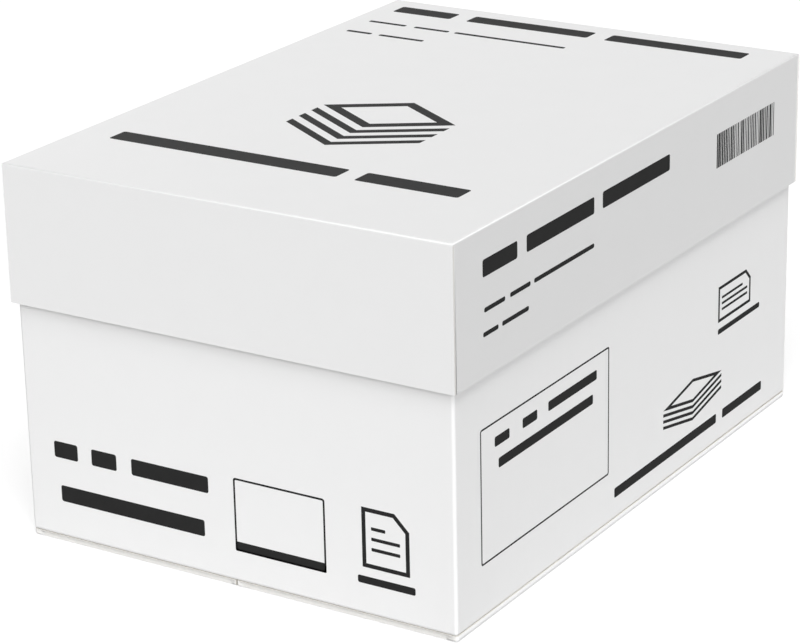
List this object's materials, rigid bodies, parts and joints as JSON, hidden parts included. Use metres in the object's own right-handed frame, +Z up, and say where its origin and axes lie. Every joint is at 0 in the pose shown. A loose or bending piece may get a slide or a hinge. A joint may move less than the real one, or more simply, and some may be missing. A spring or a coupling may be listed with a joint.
{
  "type": "carton of copy paper",
  "caption": "Closed white cardboard carton with a lift-off lid, holding a stack of wrapped reams of A4 paper.",
  "frame": {"origin": "middle of the underside, on the surface the carton stands on", "axes": "+Z up; +Y along the long side; +X along the short side"},
  "size_m": [0.223, 0.3158, 0.173],
  "materials": {
    "base_board": "white-lined corrugated board, matt",
    "lid_board": "white-lined corrugated board, matt",
    "ream_wrapper": "coated wrapping paper, slight sheen"
  },
  "bodies": {
    "base": {"base": "base_board", "ream_bottom": "ream_wrapper", "ream_middle": "ream_wrapper", "ream_top": "ream_wrapper"},
    "lid": {"lid": "lid_board"}
  },
  "joints": [
    {"name": "lid_lift", "type": "slide", "parent": "base", "child": "lid", "axis": [0, 0, 1], "range_m": [0, 0.1]}
  ]
}
